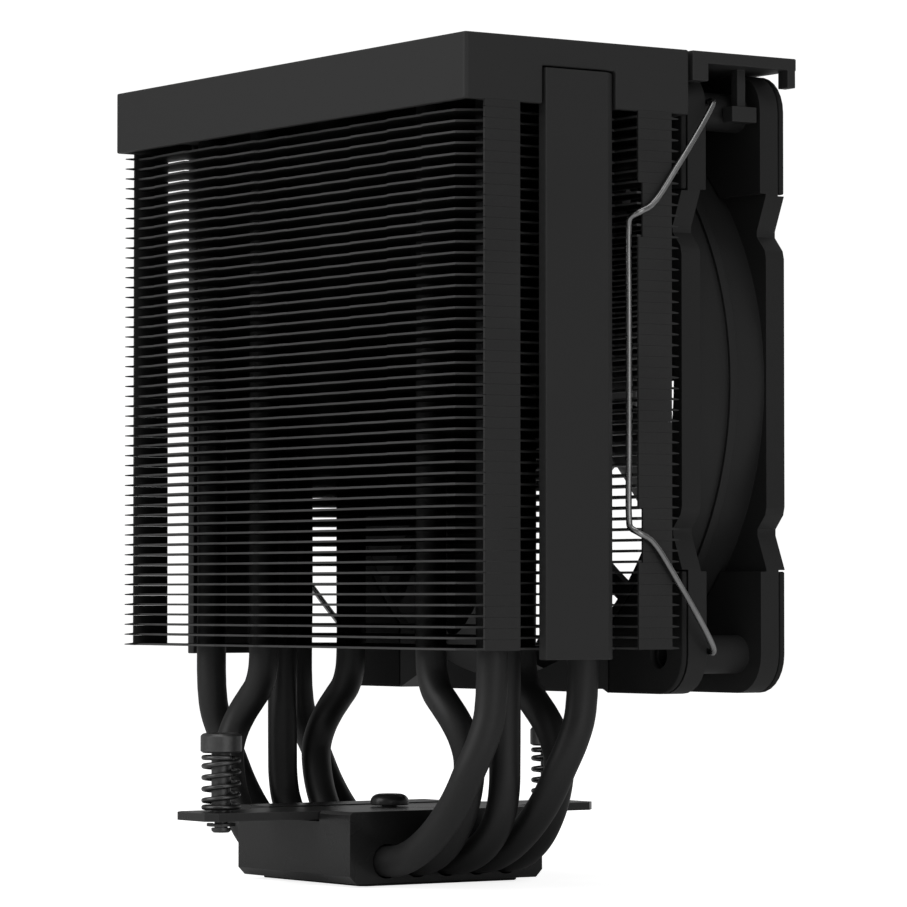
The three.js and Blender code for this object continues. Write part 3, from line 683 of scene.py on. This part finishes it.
def build_fan_shell():
    rear, front = FAN_REAR, FAN_FRONT
    outline = fan_outline()
    shell = prism("fan_shell", outline, rear - FLANGE_T, rear, "Y")
    # outline, lowest y, highest y: front flange, duct, and a rib round the duct
    solids = [(outline, front, front + FLANGE_T),
              (circle(0, FAN_Z, 59.3, 112), front + 1, rear - 1),
              (circle(0, FAN_Z, FAN_HALF, 112), -40.4, -38.6)]
    cuts = [(circle(0, FAN_Z, 57.4, 112), front - 1, rear + 1)]
    for quadrant in QUADRANTS:
        plate = corner_plate(quadrant, CORNER_IN, 59.7, FAN_HALF)
        solids += [(plate, rear - 5.9, rear - 0.4), (plate, front + 0.4, front + 5.9),
                   (corner_circle(quadrant, 3.7, 28), front + 2, rear - 2)]
        pocket = corner_plate(quadrant, CORNER_IN - 0.3, 59.2, FAN_HALF + 1.5)
        cuts += [(corner_circle(quadrant, 2.15, 24), front - 1, rear + 1),
                 (pocket, rear - 1.5, rear + 1), (pocket, front - 1, front + 1.5)]
    for points, low, high in solids:
        carve(shell, prism("solid", points, low, high, "Y"), "UNION")
    for points, low, high in cuts:
        carve(shell, prism("cut", points, low, high, "Y"))
    carve(shell, prism("lead_hole", circle(LEAD_Y, FAN_Z, 1.3, 20), 55, 61, "X"))
    clean(shell, 0.5)
    dress(soften(shell, 0.3, angle=38), "cooler", "fan_frame")


def strut(angle):
    """Bowed arm from the motor base out to the duct."""
    ca, sa = math.cos(angle), math.sin(angle)
    rings = []
    for i in range(STRUT_STEPS + 1):
        r = STRUT_START + (STRUT_END - STRUT_START) * i / STRUT_STEPS
        bow = STRUT_BOW * math.sin(math.pi * i / STRUT_STEPS)
        rings.append([(r * ca - (w + bow) * sa, y, FAN_Z + r * sa + (w + bow) * ca)
                      for w, y in STRUT])
    return loft("strut", rings)


def build_spider():
    parts = [lathe("motor_base", MOTOR_BASE, 96, "Y", (0, 0, FAN_Z))]
    parts += [strut(k * math.pi / 4) for k in (1, 3, 5, 7)]
    dress(smooth(merge("fan_spider", parts), 35), "cooler", "fan_frame")


def build_pads():
    """Corner pads: 1 to 4 on the rear, 5 to 8 on the front."""
    thick = 1.2
    for number in range(1, 9):
        quadrant = QUADRANTS[(number - 1) % 4]
        low = FAN_REAR - thick if number <= 4 else FAN_FRONT
        outline = corner_plate(quadrant, CORNER_IN, 59.6, FAN_HALF)
        pad = prism(f"pad_{number}", outline, low, low + thick, "Y")
        hole = corner_circle(quadrant, 2.5, 24)
        carve(pad, prism("hole", hole, FAN_FRONT - 2, FAN_REAR + 2, "Y"))
        dress(soften(pad, 0.3, angle=38), "cooler", f"fan_pad_{number}")


# ------------------------------------------------------------------ rotor
# (radius, y)
HUB = [(0, -47.9), (16.8, -47.9), (17.8, -47.75), (18.7, -47.35), (19.25, -46.7), (19.5, -45.9),
       (19.5, -31.9), (19.3, -31.6), (17.6, -31.6), (17.4, -31.8), (17.4, -46.2), (4, -46.2),
       (4, -43.2), (1.8, -43.2), (1.8, -46.3), (0, -46.3)]
SHAFT = [(0, -46.0), (1.3, -46.0), (1.5, -45.8), (1.5, -30.6), (1.0, -30.6), (1.0, -29.9),
         (1.4, -29.9), (1.2, -29.4), (0, -29.4)]
BLADES, BLADE_ROOT, BLADE_TIP = 7, 18.8, 56.5
TWIST_START = 18.6  # radius from which the blade's shape starts to change
BLADE_ROWS, BLADE_STEPS = 22, 14  # along the blade, across it


def blade(number):
    rings = []
    for i in range(BLADE_ROWS + 1):
        out = i / BLADE_ROWS
        r = BLADE_ROOT + (BLADE_TIP - BLADE_ROOT) * out
        g = (r - TWIST_START) / (BLADE_TIP - TWIST_START)
        span = math.radians(44 - 1.5 * g)
        lead = math.radians(-6 * g + 14 * g * g)
        y_rear = -33.2 + 0.9 * g
        y_front = -46.4 - 1.6 * g + 2.4 * g * g
        round_tip = 1.0 - 0.10 * max(0.0, (out - 0.86) / 0.14) ** 2.2
        rear, front = [], []
        for j in range(BLADE_STEPS + 1):
            across = j / BLADE_STEPS
            s = 0.5 + (across - 0.5) * round_tip
            angle = number * math.tau / BLADES + math.radians(31.5) + lead + span * s
            y = y_rear + (y_front - y_rear) * s - 1.6 * math.sin(math.pi * s)
            half_t = 0.12
            if 0 < j < BLADE_STEPS:
                half_t = 0.16 + 0.72 * math.sin(math.pi * across ** 0.75) ** 0.8
            x, z = r * math.cos(angle), FAN_Z + r * math.sin(angle)
            rear.append((x, y + half_t, z))
            front.append((x, y - half_t, z))
        rings.append(rear + front[::-1])
    return loft("blade", rings)


def build_rotor():
    parts = [lathe("hub", HUB, 128, "Y", (0, 0, FAN_Z))]
    parts += [blade(k) for k in range(BLADES)]
    dress(smooth(merge("fan_rotor", parts), 42), "rotor_unit", "rotor")


# ------------------------------------------------------------------ cable, motor, wire clips
# x, y, z from the motor base out through the frame and down its left-to-right +X side
CABLE = [(20.2, LEAD_Y, FAN_Z), (40, LEAD_Y, FAN_Z), (56, LEAD_Y, FAN_Z), (60.3, -29.15, FAN_Z),
         (61.7, -29.9, FAN_Z - 0.8), (62.2, -32, FAN_Z - 3), (61.4, -35.5, FAN_Z - 8),
         (59.2, -38, FAN_Z - 16), (55.8, -39.2, FAN_Z - 25), (53.9, -39.3, FAN_Z - 31),
         (53.5, -39.3, FAN_Z - 35.2)]
CLIP_X, CLIP_Y = 62.2, -12.6  # the straight upright part
CLIP_MID_Z = 97.7  # the lower half mirrors the upper about this height
# upper half of the right clip, x, y, z
CLIP_UPPER = [(57.1, -33.7, 149.9), (60.6, -33.7, 150.5), (61.9, -32.9, 149.9),
              (62.9, -30.6, 147.0), (64.3, -22.5, 137.0), (64.3, -16.4, 129.4),
              (64.1, -13.6, 127.9), (CLIP_X + 0.4, CLIP_Y, 126.8), (CLIP_X, CLIP_Y, 125.4)]


def build_motor():
    for node in ("stator_core", "motor_board", "magnet_ring", "bearing_bush", "shaft_clip"):
        refine(node, width=0.1)
    for number in range(1, 5):
        refine(f"stator_coil_{number}", width=0.5)
    shaft = lathe("shaft", SHAFT, 40, "Y", (0, 0, FAN_Z))
    dress(smooth(shaft, 30), "rotor_unit", "rotor_shaft")


def build_wire_clip(side, sign):
    lower = [(x, y, 2 * CLIP_MID_Z - z) for x, y, z in reversed(CLIP_UPPER)]
    points = CLIP_UPPER + [(CLIP_X, CLIP_Y, 110), (CLIP_X, CLIP_Y, 85)] + lower
    path = catmull([(sign * x, y, z) for x, y, z in points], 5)
    wire = sweep(f"wire_clip_{side}_skin", path, 0.6, sides=14, round_ends=0.4)
    dress(wire, f"clip_{side}", f"wire_clip_{side}")


# ------------------------------------------------------------------ floor, light, camera
FLOOR_GLOW = 0.85
CAMERA_HEADING = (0.8239, -0.5668)  # viewing direction in plan
CAMERA_PITCH = 0.03211923  # radians above level


def build_floor():
    """White floor that glows only where the camera sees it directly."""
    bpy.ops.mesh.primitive_plane_add(size=6, location=(0, 0, -0.0002))
    floor = bpy.context.object
    floor.name = "floor"
    mat = bpy.data.materials.new("floor_white")
    tree = empty_tree(mat)
    diffuse = add_node(tree, "ShaderNodeBsdfDiffuse", {"Color": (0.86, 0.86, 0.86, 1)})
    glow = add_node(tree, "ShaderNodeEmission", {"Color": WHITE, "Strength": FLOOR_GLOW})
    rays = add_node(tree, "ShaderNodeLightPath")
    seen = add_node(tree, "ShaderNodeMath", {0: rays.outputs["Is Camera Ray"], 1: FLOOR_GLOW},
                    operation="MULTIPLY")
    tree.links.new(seen.outputs[0], glow.inputs["Strength"])
    both = add_node(tree, "ShaderNodeAddShader", {0: diffuse.outputs[0], 1: glow.outputs[0]})
    add_node(tree, "ShaderNodeOutputMaterial", {0: both.outputs[0]})
    floor.data.materials.append(mat)


def build_world():
    """Dim white light all round, and a bright white backdrop for the camera."""
    world = bpy.data.worlds.new("studio")
    scene.world = world
    tree = empty_tree(world)
    rays = add_node(tree, "ShaderNodeLightPath")
    soft = add_node(tree, "ShaderNodeBackground", {"Color": WHITE, "Strength": 0.24})
    seen = add_node(tree, "ShaderNodeBackground", {"Color": WHITE, "Strength": 1.05})
    mix = add_node(tree, "ShaderNodeMixShader", {
        0: rays.outputs["Is Camera Ray"], 1: soft.outputs[0], 2: seen.outputs[0]})
    add_node(tree, "ShaderNodeOutputWorld", {0: mix.outputs[0]})


def area(name, location, target, size, power):
    light = bpy.data.lights.new(name, "AREA")
    light.shape = "RECTANGLE"
    light.size, light.size_y = size
    light.energy = power
    obj = bpy.data.objects.new(name, light)
    obj.location = location
    aim = Vector(target) - Vector(location)
    obj.rotation_euler = aim.to_track_quat("-Z", "Y").to_euler()
    scene.collection.objects.link(obj)


def build_lights():
    area("key_rear", location=(0.25, 1.0, 0.55), target=(0, 0, 0.09), size=(0.8, 0.8), power=3.8)
    area("fill_side", location=(-1.1, 0.1, 0.35), target=(0, 0, 0.08), size=(0.7, 0.9), power=1.9)
    area("front", location=(0.3, -1.1, 0.5), target=(0, 0, 0.09), size=(0.8, 0.8), power=0.9)
    area("top", location=(0.0, 0.1, 1.2), target=(0, 0, 0.1), size=(0.9, 0.9), power=3.2)


def build_camera():
    """Long lens from the rear left, low down and tilted slightly up."""
    lens = bpy.data.cameras.new("camera")
    lens.sensor_width = 36.0
    lens.lens = 179.146637
    lens.clip_start, lens.clip_end = 0.01, 50
    camera = bpy.data.objects.new("camera", lens)
    camera.location = (-0.7428, 0.4957, 0.05521)
    level = math.cos(CAMERA_PITCH)
    look = Vector((CAMERA_HEADING[0] * level, CAMERA_HEADING[1] * level, math.sin(CAMERA_PITCH)))
    camera.rotation_euler = look.to_track_quat("-Z", "Y").to_euler()
    scene.collection.objects.link(camera)
    scene.camera = camera
    scene.view_settings.view_transform = "Standard"


# ------------------------------------------------------------------ build
build_pipes()
build_base()
for number, cy in ((1, SCREW_Y), (2, -SCREW_Y)):
    build_spring_screw(number, cy)
    build_coil(number, cy)
    build_retaining_ring(number, cy)
build_fins()
for number, fold in enumerate(FOLDS, 1):
    build_fold(number, *fold)
refine("spine_left", width=0.25, segments=3)
refine("spine_right", width=0.25, segments=3)
refine("top_plate", width=0.1, segments=1)
refine("top_cover", width=0.45, segments=3)
refine("fan_cover", width=0.35, segments=3)
build_fan_shell()
build_spider()
build_pads()
build_rotor()
dress(sweep("lead", catmull(CABLE, 6), 0.9, sides=16), "cooler", "fan_cable")
refine("fan_connector", width=0.2)
refine("fan_label", width=0.05, segments=1)
build_motor()
build_wire_clip("left", -1)
build_wire_clip("right", 1)
build_floor()
build_world()
build_lights()
build_camera()

bpy.context.view_layer.update()
